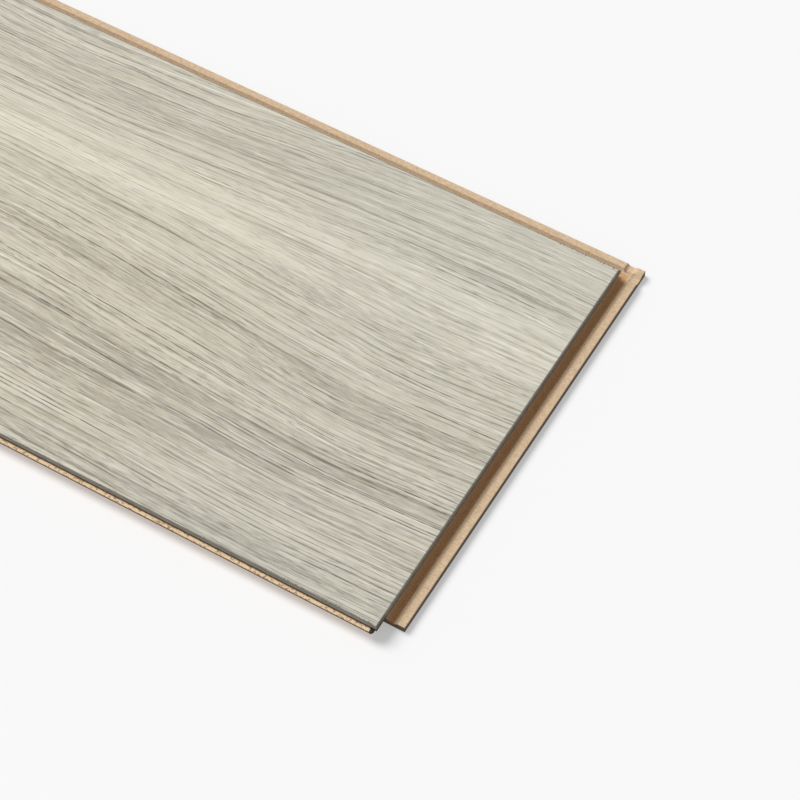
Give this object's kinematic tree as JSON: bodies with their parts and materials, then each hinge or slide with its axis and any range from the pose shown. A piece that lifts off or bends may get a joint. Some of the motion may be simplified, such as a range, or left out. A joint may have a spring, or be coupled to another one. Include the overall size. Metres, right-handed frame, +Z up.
{
  "type": "laminate floor plank",
  "caption": "Laminate floor plank with a greyed oak print, painted bevels and a click joint: tongue on the front edge and left end, groove with locking lip on the rear edge and right end.",
  "frame": {"origin": "middle of the laid face, from joint to joint, on the underside", "axes": "+X along the plank to the end with the locking lip, +Y across it to the edge with the locking lip, +Z up through the printed face"},
  "size_m": [1.389, 0.202, 0.008],
  "materials": {
    "core_board": "bare wood-fibre board, milled",
    "decor_print": "satin melamine wear layer over a greyed oak print"
  },
  "bodies": {
    "root": {"hdf_core": "core_board", "decor_layer": "decor_print"}
  },
  "joints": []
}
